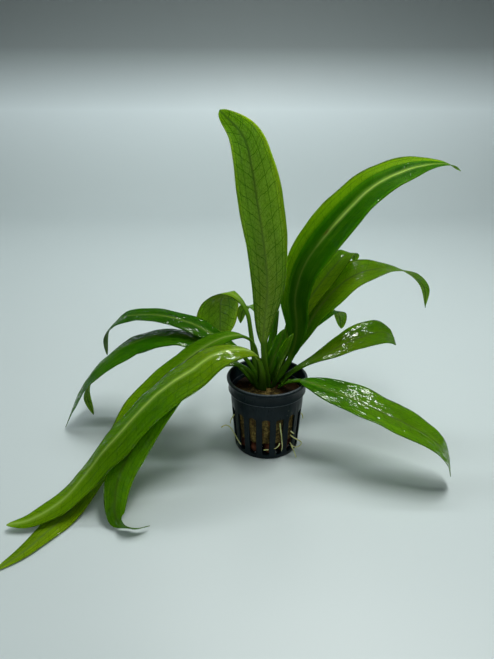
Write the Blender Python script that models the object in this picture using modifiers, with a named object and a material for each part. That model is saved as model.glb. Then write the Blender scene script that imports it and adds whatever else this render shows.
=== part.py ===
"""Potted amazon sword plant: a slotted pot, its growing medium, clay pellets, roots, crown and leaves.

Metres, +Z up. The origin is the centre of the pot's foot, on the surface it stands on.
The longest leaves reach along X, and the side with the two long drooping leaves faces -Y.
"""
import math
from collections import namedtuple

import bmesh
import bpy
import numpy as np
from mathutils import Matrix

MM = 0.001
GAP = 0.3 * MM               # clear space between pieces that touch

# Pot
POT_HEIGHT = 48 * MM
RIM_RADIUS = 25 * MM
COLLAR_RADIUS = 24 * MM
COLLAR_HEIGHT = 8.5 * MM     # from the rim down to the small step
BAND_RADIUS = 22.9 * MM      # just under that step
FOOT_RADIUS = 20.2 * MM
WALL = 1.1 * MM
POT_STEPS = 48

# Slots in the pot's wall and in its floor
SLOT_COUNT = 16
SLOT_PHASE = -93             # degrees, the slot that looks straight out at the front
SLOT_TOP = 29.4 * MM
SLOT_BOTTOM = 3 * MM
SLOT_WIDTH_TOP = 5 * MM
SLOT_WIDTH_BOTTOM = 4.1 * MM
FLOOR_SLOT_COUNT = 8
FLOOR_SLOT_INNER = 7 * MM
FLOOR_SLOT_OUTER = 16.5 * MM
FLOOR_SLOT_WIDTH = 3 * MM

# Growing medium, clay pellets and crown
MEDIUM_TOP = 40 * MM
MEDIUM_BOTTOM = 9.8 * MM
MEDIUM_STEPS = 28
CROWN_RADIUS = 9.5 * MM
CROWN_TOP = 41.2 * MM
CROWN_DEPTH = 8 * MM
PELLET_RADIUS = 4 * MM
OUTER_PELLETS = 11
INNER_PELLETS = 5
INNER_RING = 6.95 * MM

# Roots
ROOT_RADIUS = 0.45 * MM

# Leaves: the stalk's half width, and the thickness of stalk and blade along the midrib
STALK_HALF_WIDTH = 1.55 * MM
STALK_THICKNESS = 1.8 * MM
BLADE_THICKNESS = 0.9 * MM
TIP_HALF_WIDTH = 0.3 * MM
SECTION_SPACING = 9 * MM
SECTION_CROWDING = 1.3       # how much closer a leaf's sections come together toward its tip
REST_HEIGHT = 0.1 * MM       # how far a leaf that lies on the surface stays above it

# A path point is x, y, z in millimetres and the blade's roll there in degrees. A leaf's heading
# is the compass direction it leans to, in degrees from +X, its stalk takes up stalk_share of its
# length and widest is where along the blade it is widest. A smaller taper makes the blade fuller
# toward its stalk and a smaller bluntness toward its tip, and fold lifts its edges above its midrib.
Leaf = namedtuple("Leaf", "name heading width stalk_share widest taper bluntness fold path")

LEAVES = [
    Leaf("leaf_tall", -90, 26, 0.19, 0.58, 0.62, 0.55, 0.3,
         ((-0.4, -4.2, 42, -5), (-2, -6, 60, 0), (-3, -8, 80, 0), (-1, -9, 108, -10), (-3, -7, 131, -22),
          (-6, -5, 149, -22), (-10, -3, 172, -20), (-14.5, -5, 187, -16), (-25.8, -10, 199, -10))),
    Leaf("leaf_right_high", 15, 29, 0.1, 0.54, 0.66, 0.6, 0.2,
         ((4.4, 0.4, 42, -10), (11, 3, 52, 10), (17, 6, 66, 30), (18, 9, 79, 45), (17, 13, 95, 40),
          (22, 17, 113, 35), (36.2, 22, 132.8, 32), (60.2, 28, 156.8, 26), (83.5, 31, 167.5, 20), (103, 32, 170, 10),
          (113, 33, 166, 0))),
    Leaf("leaf_back_right", 50, 17, 0.16, 0.55, 0.8, 0.65, 0.15,
         ((2.6, 3.8, 42, 5), (7, 8, 54, 5), (14, 14, 70, 0), (23, 20, 85, 0), (35, 28, 100, 0),
          (47, 36, 112, 0), (52.5, 42, 114.5, 0), (57.5, 47, 111.5, 0), (58.5, 50, 106, 0))),
    Leaf("leaf_right_arch", 28, 22.5, 0.15, 0.47, 0.85, 1.0, 0.15,
         ((6.0, 5.0, 42, 12), (14, 8, 54, 10), (22.4, 12.5, 68.5, 10), (32.4, 19, 85, 18), (49.4, 27, 100.6, 18),
          (67, 33, 106, 15), (82, 38, 105, 0), (94, 41, 101, -5), (105, 43, 91, -5), (108, 44, 76, 0))),
    Leaf("leaf_back_right_low", 45, 14, 0.25, 0.6, 0.8, 0.6, 0.1,
         ((2.4, 7.6, 42, 27), (9, 13, 50, 0), (18, 19, 63, 0), (29, 25, 72, 0), (39, 33, 77, 0),
          (47, 41, 75, 0), (51, 46, 69, 0), (53, 48, 59, 0))),
    Leaf("leaf_right_rest", 22, 25, 0.12, 0.78, 0.46, 0.2, 0.08,
         ((7.8, 1.1, 42, -14), (14, 5.5, 46.2, 0), (23.5, 9.8, 50.6, 0), (38, 17, 54.4, 10), (54, 24, 59.5, 12),
          (67.5, 29, 62.6, 14), (78, 32.5, 62.8, 22), (86.5, 34.5, 58, 24))),
    Leaf("leaf_right_front", -22, 26, 0.14, 0.5, 0.48, 0.5, 0.08,
         ((7.2, -3.2, 42, -2), (13, -6, 47, 0), (22, -11, 49.8, 0), (39, -18, 46.5, 13), (54, -24, 43, 13),
          (68, -31, 39, 8), (82, -37, 34, 3), (94, -42, 27, 0), (100, -44, 19, 0), (103, -46, 8, 0))),
    Leaf("leaf_left_top", 161, 19, 0.14, 0.5, 0.6, 0.6, 0.0,
         ((-4.2, 1.7, 42, -6), (-14, 7, 57, 0), (-29, 14.5, 65, -6), (-46, 18.5, 74.3, -8), (-69, 25, 78, -6),
          (-90, 31, 75, -8), (-100, 33, 69, -12), (-107, 34, 60, -15), (-108, 35, 45, -15))),
    Leaf("leaf_left_long", 174, 25.5, 0.14, 0.46, 0.65, 1.0, -0.2,
         ((-7.8, -0.6, 42, 10), (-20, 2, 56.5, 0), (-35, 9, 63.3, -5), (-54, 15.5, 68.3, -6), (-73, 17, 66.5, -8),
          (-90, 17, 60, -10), (-106, 16, 48.5, -14), (-118, 15, 35, -16), (-127, 13.5, 19, -18),
          (-135, 12, 2, -18))),
    Leaf("leaf_left_hidden", 168, 14, 0.25, 0.6, 0.8, 0.6, -0.1,
         ((-7.2, 3.2, 42, -12), (-15, 8, 49, 0), (-29, 17, 55, 0), (-48, 25, 58, 0), (-69, 31, 55, 0),
          (-90, 34, 48, 0), (-107, 34, 38, 0), (-119, 32, 28, 0), (-124, 29, 17, 0), (-119.5, 25, 3.5, 0))),
    Leaf("leaf_front_left", 206, 26, 0.12, 0.42, 0.7, 0.58, -0.28,
         ((-3.2, -7.2, 42, 40), (-3.5, -10.5, 57, 20), (-8, -12, 68.5, 0), (-19, -16, 73, -10),
          (-32, -22, 72, -12), (-43, -29, 67, -10), (-54, -35, 62, -8), (-66, -42, 54, -6), (-79.5, -50, 41, -5),
          (-90, -55, 30.5, -4), (-100.5, -60, 18, -4), (-110.5, -67, 9, -6), (-124, -75.5, 4.5, -4),
          (-135.5, -79, 4, 0))),
    Leaf("leaf_front_left_under", 203, 23.5, 0.16, 0.42, 0.66, 0.68, 0.05,
         ((-4.0, -2.0, 42, 2), (-6, 1, 61, 0), (-10, 4, 70, 0), (-19.5, 3, 73.5, -5), (-33, 1, 70, -8),
          (-50, -6, 60.5, -10), (-68.5, -16, 44.5, -15), (-79.5, -26, 33, -15), (-88.5, -36, 21, -12),
          (-96, -46, 11, -6), (-103, -56, 4, 0), (-109, -69, 1.2, 0), (-115, -81, 0.8, 0), (-122, -94, 0.8, 0),
          (-131, -105, 0.8, 0))),
    Leaf("leaf_front_drooping", 228, 18, 0.22, 0.5, 0.5, 0.78, -0.1,
         ((-6.5, -4.6, 42, -14), (-10.5, -7, 54, 0), (-18, -8.5, 60, -10), (-34, -14, 60, -15),
          (-52.5, -28, 54.5, -20), (-65.5, -43, 43, -20), (-75, -56, 31, -20), (-80, -65.5, 21, -20),
          (-80.5, -73, 13, -20), (-79.5, -77.5, 7.5, -24), (-75.5, -80.3, 5, -34), (-69, -81.3, 3.8, -43),
          (-62.2, -78.6, 3.2, -45))),
    Leaf("leaf_back_left", 125, 35, 0.36, 0.7, 1.4, 0.5, 0.15,
         ((-4.8, 6.1, 42, 3), (-8, 12, 56, 0), (-10, 15, 70, 0), (-12, 19, 81, 0), (-17, 26, 88, 0),
          (-25, 34, 90, 0), (-30, 42, 82.5, 0), (-31, 47, 70, 0), (-31.5, 50, 50, 0))),
    Leaf("leaf_back_small", 105, 9, 0.35, 0.6, 0.8, 0.7, 0.1,
         ((-1.4, 7.8, 42, -5), (-1, 15, 58, 0), (-1, 24, 69, 0), (-3, 34, 75, 0), (-8, 43, 77, 0),
          (-13, 49, 75, 0), (-16, 52, 69, 0), (-17, 53, 61, 0))),
    Leaf("leaf_back_young", 80, 9, 0.2, 0.55, 0.7, 0.7, 0.2,
         ((-1.2, 4.4, 42, 25), (1, 7, 55, -10), (4, 10, 68, -60), (7, 13, 86, -60))),
    Leaf("leaf_young_left", 30, 8, 0.2, 0.55, 0.7, 0.7, 0.3,
         ((0.2, 0.0, 42, 0), (1.5, 0, 50, 0), (3.5, 1.5, 58, 20), (7, 3, 67, 30), (10, 5, 77, 30))),
    Leaf("leaf_young_right", -10, 9, 0.2, 0.55, 0.7, 0.7, 0.5,
         ((3.4, -3.7, 42, -35), (5.2, -5.7, 52, 0), (8, -6.8, 61, 20), (11.5, -6.5, 69, 30), (14.5, -6.5, 79, 30))),
]

# Roots that have grown out of the slots: points in millimetres.
ROOTS = {
    "root_front": ((7.2, -20.9, 27), (7.6, -21.4, 23), (8.2, -21.4, 19), (8.5, -21.3, 15.5),
                   (9.0, -20.8, 10.5), (8.6, -20.6, 6.5)),
    "root_front_fork": ((7.3, -21.6, 13.2), (6.6, -21.8, 11.2), (5.0, -21.9, 9.6), (3.9, -21.8, 9.3)),
    "root_loop": ((13.9, -16.6, 15.8), (14.8, -18.6, 16.0), (16.5, -20.0, 15.6), (19.0, -20.2, 14.2),
                  (20.6, -19.6, 12.2), (20.2, -19.2, 10.0), (18.2, -19.0, 8.5), (16.0, -18.5, 8.5),
                  (14.6, -17.4, 9.4), (13.9, -16.5, 10.4)),
    "root_tail": ((14.6, -15.5, 7.8), (15.6, -17.2, 6.6), (16.6, -18.2, 4.6), (17.4, -18.8, 2.4),
                  (18.0, -19.4, 0.7)),
    "root_stub": ((14.0, -16.6, 18.6), (15.1, -17.9, 18.2), (16.3, -18.6, 17.8)),
    "root_left": ((-20.4, -7.3, 24.6), (-21.7, -7.8, 22.3), (-22.9, -8.0, 19.9), (-22.7, -8.4, 18.2)),
    "root_left_long": ((-29.0, -7.5, 14.9), (-26.0, -7.5, 16.6), (-23.2, -8.4, 15.9), (-20.8, -11.0, 13.6),
                       (-18.4, -14.2, 10.8), (-16.1, -16.7, 8.3)),
    "root_right": ((21.5, -1.2, 22), (22.8, -1.6, 20.2), (23.1, -2.4, 18.0)),
    "root_foot": ((-2.6, -21.6, 8.1), (-1.0, -21.8, 8.3), (0.8, -21.6, 8.2)),
}


def clear_scene():
    """Remove every object of the open scene."""
    for old in list(bpy.data.objects):
        bpy.data.objects.remove(old, do_unlink=True)


def new_collection(name):
    """A collection of that name, linked to the scene."""
    group = bpy.data.collections.new(name)
    bpy.context.scene.collection.children.link(group)
    return group


def material(name, colour, roughness):
    """A Principled material of one colour."""
    made = bpy.data.materials.new(name)
    made.use_nodes = True
    shader = made.node_tree.nodes["Principled BSDF"]
    shader.inputs["Base Color"].default_value = (*colour, 1)
    shader.inputs["Roughness"].default_value = roughness
    shader.inputs["Metallic"].default_value = 0.0
    return made


def add_object(name, data, group, finish=None):
    """An object that holds the data, in its collection, with its material."""
    made = bpy.data.objects.new(name, data)
    group.objects.link(made)
    if finish is not None:
        data.materials.append(finish)
    return made


def mesh_from(name, bm):
    """A smooth-shaded mesh with the faces of a bmesh."""
    mesh = bpy.data.meshes.new(name)
    bm.to_mesh(mesh)
    bm.free()
    mesh.shade_smooth()
    mesh.set_sharp_from_angle(angle=math.radians(40))
    return mesh


def turned(name, profile, steps, group, finish):
    """A solid turned about Z from a profile of radius and height, axis to axis, down its outer side."""
    mesh = bpy.data.meshes.new(name)
    points = [(radius, 0, height) for radius, height in profile]
    mesh.from_pydata(points, [(k, k + 1) for k in range(len(points) - 1)], [])
    made = add_object(name, mesh, group, finish)
    screw = made.modifiers.new("turn", "SCREW")
    screw.steps = steps
    screw.render_steps = steps
    screw.use_merge_vertices = True
    screw.merge_threshold = 0.00001
    screw.use_smooth_shade = True
    return made


def applied(made, group, finish):
    """The object as its modifiers show it, as a plain mesh object of the same name."""
    depsgraph = bpy.context.evaluated_depsgraph_get()
    mesh = bpy.data.meshes.new_from_object(made.evaluated_get(depsgraph))
    name = made.name
    bpy.data.objects.remove(made, do_unlink=True)
    mesh.materials.clear()
    return add_object(name, mesh, group, finish)


def pot_inner_radius(height):
    """The pot's inside radius at a height in its slotted part."""
    share = height / (POT_HEIGHT - COLLAR_HEIGHT)
    return FOOT_RADIUS + (BAND_RADIUS - FOOT_RADIUS) * share - WALL


def slot_cutter(width_top, width_bottom, inner, outer, bottom, top, angle, group, name):
    """A wedge that cuts one slot: narrower at its lower end, and turned to its place."""
    bm = bmesh.new()
    bmesh.ops.create_cube(bm, size=1)
    for vertex in bm.verts:
        high = vertex.co.z > 0
        width = width_top if high else width_bottom
        vertex.co.x = outer if vertex.co.x > 0 else inner
        vertex.co.y = math.copysign(width / 2, vertex.co.y)
        vertex.co.z = top if high else bottom
    bm.transform(Matrix.Rotation(math.radians(angle), 4, "Z"))
    mesh = mesh_from(name, bm)
    cutter = add_object(name, mesh, group)
    cutter.hide_render = True
    cutter.display_type = "WIRE"
    return cutter


def make_pot(group, cutters, finish):
    """The tapered pot with its collar, and its slots cut through the wall and the floor."""
    step = POT_HEIGHT - COLLAR_HEIGHT
    profile = [
        (0, WALL),
        (pot_inner_radius(WALL), WALL),
        (BAND_RADIUS - WALL, step - 0.4 * MM),
        (COLLAR_RADIUS - WALL, step + 0.9 * MM),
        (COLLAR_RADIUS - 0.4 * MM, POT_HEIGHT),
        (RIM_RADIUS - 0.5 * MM, POT_HEIGHT),
        (RIM_RADIUS, POT_HEIGHT - 0.5 * MM),
        (RIM_RADIUS, POT_HEIGHT - 1.6 * MM),
        (COLLAR_RADIUS + 0.3 * MM, POT_HEIGHT - 2.1 * MM),
        (COLLAR_RADIUS - 0.1 * MM, step + 0.3 * MM),
        (BAND_RADIUS, step),
        (FOOT_RADIUS, 0.8 * MM),
        (FOOT_RADIUS - 0.7 * MM, 0),
        (0, 0),
    ]
    pot = turned("pot", profile, POT_STEPS, group, finish)
    wedges = []
    for k in range(SLOT_COUNT):
        angle = SLOT_PHASE + 360 / SLOT_COUNT * k
        wedges.append(slot_cutter(SLOT_WIDTH_TOP, SLOT_WIDTH_BOTTOM, FOOT_RADIUS - 3 * MM, RIM_RADIUS,
                                  SLOT_BOTTOM, SLOT_TOP, angle, cutters, f"slot_cutter_{k + 1}"))
    for k in range(FLOOR_SLOT_COUNT):
        angle = SLOT_PHASE + 360 / FLOOR_SLOT_COUNT * (k + 0.5)
        wedges.append(slot_cutter(FLOOR_SLOT_WIDTH, FLOOR_SLOT_WIDTH, FLOOR_SLOT_INNER, FLOOR_SLOT_OUTER,
                                  -WALL, 2 * WALL, angle, cutters, f"floor_slot_cutter_{k + 1}"))
    for wedge in wedges:
        cut = pot.modifiers.new(wedge.name, "BOOLEAN")
        cut.operation = "DIFFERENCE"
        cut.solver = "EXACT"
        cut.object = wedge
    return pot


def make_medium(group, finish):
    """The mineral wool plug: it fills the pot inside, with a pocket for the crown and an uneven skin."""
    pocket = CROWN_TOP - CROWN_DEPTH - GAP
    lip = CROWN_RADIUS + GAP

    def side(height):
        return pot_inner_radius(height) - GAP

    profile = [
        (0, pocket),
        (lip, pocket),
        (lip, MEDIUM_TOP - 0.6 * MM),
        (lip + 1.2 * MM, MEDIUM_TOP),
        (15 * MM, MEDIUM_TOP),
        (side(MEDIUM_TOP - 3 * MM) - 1.5 * MM, MEDIUM_TOP - 0.4 * MM),
        (side(MEDIUM_TOP - 3 * MM), MEDIUM_TOP - 2 * MM),
        (side(30 * MM), 30 * MM),
        (side(20 * MM), 20 * MM),
        (side(MEDIUM_BOTTOM), MEDIUM_BOTTOM + 0.9 * MM),
        (side(MEDIUM_BOTTOM) - 1.2 * MM, MEDIUM_BOTTOM),
        (0, MEDIUM_BOTTOM),
    ]
    medium = applied(turned("growing_medium", profile, MEDIUM_STEPS, group, finish), group, finish)
    for vertex in medium.data.vertices:
        x, y, z = vertex.co
        radius = math.hypot(x, y)
        if radius < lip + 0.5 * MM:
            continue
        angle = math.atan2(y, x)
        dent = 0.5 + 0.25 * math.sin(5 * angle + 260 * z) + 0.25 * math.sin(11 * angle - 410 * z)
        scale = 1 - 0.6 * MM * dent / radius
        vertex.co.x *= scale
        vertex.co.y *= scale
        if z > MEDIUM_TOP - 1 * MM:
            vertex.co.z += 0.5 * MM * math.sin(4 * angle + 1) * math.sin(300 * radius)
    return medium


def make_crown(group, finish):
    """The short thick stem that the leaves and roots grow from, sunk in the medium's pocket."""
    floor = CROWN_TOP - CROWN_DEPTH
    profile = [
        (0, CROWN_TOP),
        (CROWN_RADIUS - 1.2 * MM, CROWN_TOP - 0.1 * MM),
        (CROWN_RADIUS, CROWN_TOP - 1.4 * MM),
        (CROWN_RADIUS, floor + 1 * MM),
        (CROWN_RADIUS - 1 * MM, floor),
        (0, floor),
    ]
    return turned("crown", profile, 20, group, finish)


def make_pellets(group, finish):
    """Round baked clay pellets, in a ring along the wall and a smaller ring in the middle of the pot's floor."""
    height = WALL + GAP + PELLET_RADIUS
    ring = pot_inner_radius(height) - GAP - PELLET_RADIUS - 0.1 * MM
    places = [(ring, 360 / OUTER_PELLETS * k + 15) for k in range(OUTER_PELLETS)]
    places += [(INNER_RING, 360 / INNER_PELLETS * k + 50) for k in range(INNER_PELLETS)]
    for k, (radius, degrees) in enumerate(places):
        angle = math.radians(degrees)
        bm = bmesh.new()
        bmesh.ops.create_icosphere(bm, subdivisions=2, radius=PELLET_RADIUS)
        squeeze = Matrix.Diagonal((0.99, 0.93 + 0.05 * math.sin(3.1 * k), 0.92 + 0.05 * math.cos(2.3 * k), 1))
        bm.transform(Matrix.Rotation(1.7 * k, 4, (0.4, 1, 0.3)) @ squeeze)
        name = f"clay_pellet_{k + 1:02d}"
        pellet = add_object(name, mesh_from(name, bm), group, finish)
        pellet.location = (radius * math.cos(angle), radius * math.sin(angle), height)


def smooth_points(path, spacing, crowding=1.0):
    """Points along a smooth curve through the path, closer together at its end if crowding is over 1."""
    knots = np.array(path, float)
    knots = np.vstack([2 * knots[0] - knots[1], knots, 2 * knots[-1] - knots[-2]])
    fine = []
    for before, start, end, after in zip(knots[:-3], knots[1:-2], knots[2:-1], knots[3:]):
        t = np.linspace(0, 1, 40, endpoint=False)[:, None]
        fine.append(0.5 * (2 * start + (end - before) * t + (2 * before - 5 * start + 4 * end - after) * t**2
                           + (3 * start - before - 3 * end + after) * t**3))
    fine = np.vstack([*fine, knots[-2][None]])
    steps = np.linalg.norm(np.diff(fine[:, :3], axis=0), axis=1)
    run = np.concatenate([[0], np.cumsum(steps)])
    count = max(8, round(run[-1] / spacing) + 1)
    at = run[-1] * (1 - np.linspace(1, 0, count) ** crowding)
    return np.stack([np.interp(at, run, column) for column in fine.T], -1)


def make_root(name, path, group, finish):
    """One root: a thin round tube along its path."""
    points = smooth_points(np.array(path) * MM, 1.6 * MM)
    curve = bpy.data.curves.new(name, "CURVE")
    curve.dimensions = "3D"
    curve.bevel_depth = ROOT_RADIUS
    curve.bevel_resolution = 2
    curve.use_fill_caps = True
    spline = curve.splines.new("POLY")
    spline.points.add(len(points) - 1)
    for knot, point in zip(spline.points, points):
        knot.co = (*point, 1)
    return add_object(name, curve, group, finish)


def half_width(leaf, share):
    """Half the leaf's width at a share of its length: a stalk, then a blade that ends in a point."""
    t = np.clip((share - leaf.stalk_share) / (1 - leaf.stalk_share), 0, 1)
    power = math.log(0.5) / math.log(leaf.widest)
    fullness = np.where(t < leaf.widest, leaf.taper, leaf.bluntness)
    blade = np.abs(np.sin(math.pi * t**power)) ** fullness
    stalk = STALK_HALF_WIDTH * np.clip((1 - t) * 4, 0, 1)
    return np.maximum(stalk * (1 - blade) + leaf.width * MM / 2 * blade, TIP_HALF_WIDTH), blade


def leaf_sections(leaf):
    """For each section along the leaf: its centre, its side and face directions, half width and blade share."""
    path = np.array(leaf.path, float) * (MM, MM, MM, math.radians(1))
    samples = smooth_points(path, SECTION_SPACING, SECTION_CROWDING)
    points, roll = samples[:, :3], samples[:, 3:]
    tangent = np.gradient(points, axis=0)
    tangent /= np.linalg.norm(tangent, axis=1)[:, None]
    heading = math.radians(leaf.heading)
    across = np.array([-math.sin(heading), math.cos(heading), 0])
    side = across - tangent * (tangent @ across)[:, None]
    side /= np.linalg.norm(side, axis=1)[:, None]
    face = np.cross(tangent, side)
    side, face = side * np.cos(roll) + face * np.sin(roll), face * np.cos(roll) - side * np.sin(roll)
    width, blade = half_width(leaf, 1 - np.linspace(1, 0, len(points)) ** SECTION_CROWDING)
    return points, side, face, width, blade


def make_leaf(leaf, group, finish):
    """One leaf with its stalk: a loft of flat eight-sided sections, with thin edges and a raised midrib below."""
    bm = bmesh.new()
    rings = []
    flatness = 0
    for centre, side, face, width, blade in zip(*leaf_sections(leaf)):
        flatness = max(flatness, blade)
        thick = STALK_THICKNESS + (BLADE_THICKNESS - STALK_THICKNESS) * flatness
        thick = min(thick, 1.6 * width)
        edge = 0.25 + 0.2 * (1 - flatness)
        outline = ((-1, 0), (-0.5, edge), (0, 0.5), (0.5, edge), (1, 0), (0.5, -edge), (0, -0.6), (-0.5, -edge))
        ring = []
        for across, up in outline:
            lift = leaf.fold * width * abs(across) ** 1.3 * blade
            point = centre + side * width * across + face * (lift + thick * up)
            point[2] = max(point[2], REST_HEIGHT + 0.45 * MM + thick * up * 0.7)
            ring.append(bm.verts.new(point))
        rings.append(ring)
    for low, high in zip(rings[:-1], rings[1:]):
        for k in range(len(low)):
            after = (k + 1) % len(low)
            bm.faces.new((high[k], high[after], low[after], low[k]))
    bm.faces.new(rings[0])
    bm.faces.new(reversed(rings[-1]))
    bmesh.ops.triangulate(bm, faces=bm.faces)
    return add_object(leaf.name, mesh_from(leaf.name, bm), group, finish)


def main():
    """Make every piece of the plant."""
    clear_scene()
    plant = new_collection("potted_amazon_sword")
    cutters = new_collection("cutters")
    make_pot(plant, cutters, material("pot_plastic", (0.012, 0.022, 0.024), 0.35))
    make_medium(plant, material("growing_medium", (0.13, 0.09, 0.03), 0.95))
    make_pellets(plant, material("clay_pellets", (0.11, 0.025, 0.012), 0.9))
    make_crown(plant, material("crown", (0.03, 0.09, 0.015), 0.6))
    root_finish = material("roots", (0.42, 0.45, 0.18), 0.6)
    for name, path in ROOTS.items():
        make_root(name, path, plant, root_finish)
    leaf_finish = material("leaf", (0.06, 0.19, 0.015), 0.35)
    for leaf in LEAVES:
        make_leaf(leaf, plant, leaf_finish)


main()
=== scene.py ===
import math
from collections import namedtuple

import bmesh
import bpy
import numpy as np
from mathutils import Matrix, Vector, noise


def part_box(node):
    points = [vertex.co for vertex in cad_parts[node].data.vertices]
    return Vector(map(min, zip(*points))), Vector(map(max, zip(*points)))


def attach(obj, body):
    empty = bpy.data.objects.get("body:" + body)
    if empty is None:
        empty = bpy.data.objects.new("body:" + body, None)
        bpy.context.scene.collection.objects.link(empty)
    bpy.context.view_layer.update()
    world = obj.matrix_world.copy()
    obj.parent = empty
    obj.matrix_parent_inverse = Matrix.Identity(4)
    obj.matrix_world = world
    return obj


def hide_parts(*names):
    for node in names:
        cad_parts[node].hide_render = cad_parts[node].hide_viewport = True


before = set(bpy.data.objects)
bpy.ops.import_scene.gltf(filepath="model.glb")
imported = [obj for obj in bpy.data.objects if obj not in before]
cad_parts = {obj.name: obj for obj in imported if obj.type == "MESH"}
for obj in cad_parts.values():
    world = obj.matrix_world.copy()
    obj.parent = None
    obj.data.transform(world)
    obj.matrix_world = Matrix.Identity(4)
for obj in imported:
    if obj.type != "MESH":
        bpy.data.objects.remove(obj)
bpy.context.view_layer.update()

MM = 0.001

# The pot and its filling: sizes in metres, and the angle of the first slot in degrees
POT_HEIGHT = 48 * MM
RIM_RADIUS = 25 * MM
COLLAR_RADIUS = 24 * MM
COLLAR_HEIGHT = 8.5 * MM
BAND_RADIUS = 22.9 * MM
FOOT_RADIUS = 20.2 * MM
WALL = 1.1 * MM
SLOT_COUNT = 16
SLOT_PHASE = -93
SLOT_TOP = 29.4 * MM
SLOT_BOTTOM = 3 * MM
SLOT_WIDTH_TOP = 5 * MM
SLOT_WIDTH_BOTTOM = 4.1 * MM
SLOT_CORNER_TOP = 1.1 * MM
SLOT_CORNER_BOTTOM = 0.8 * MM
SLOT_UNEVENNESS = 0.5 * MM
EDGE_ROUNDING = 0.22 * MM
FLOOR_SLOT_COUNT = 8
MEDIUM_TOP = 40 * MM
CROWN_RADIUS = 9.5 * MM

# The leaves and roots: sizes in metres, and how many points cross a leaf
STALK_HALF_WIDTH = 1.55 * MM
STALK_THICKNESS = 1.8 * MM
BLADE_THICKNESS = 0.42 * MM
TIP_HALF_WIDTH = 0.25 * MM
LEAF_STEP = 1.1 * MM
LEAF_COLUMNS = 27
RIB_REACH = 0.75 * MM
FOOT_FLARE_LENGTH = 17 * MM
SLOW_WAVE = 9.5 * MM
QUICK_WAVE = 4.1 * MM
QUILT_HEIGHT = 0.35 * MM
REST_HEIGHT = 0.35 * MM
ROOT_RADIUS = 0.45 * MM

# Cross veins of the leaves, in millimetres, and how far they run toward the tip per step outward
RUNG_SPACING = 7.4
RUNG_THICKNESS = 0.20
RUNG_SLANT = 0.85

# A path point is x, y, z in millimetres and the blade's roll there in degrees. A leaf's heading
# is the compass direction it leans to, in degrees from +X, its stalk takes up stalk_share of its
# length and widest is where along the blade it is widest. A smaller taper makes the blade fuller
# toward its stalk and a smaller bluntness toward its tip, and fold lifts its edges above its midrib.
# The tones are its colours near its foot, in its middle and near its tip: -1 is deep green, 0 mid
# green and 1 young yellow-green. Rib is how pale its midrib is, from 0 to 1, and wet is how much
# water stands on it: None stands where that changes along the leaf, as the functions below say.
Leaf = namedtuple("Leaf", "name heading width stalk_share widest taper bluntness fold tones rib wet path")

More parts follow.
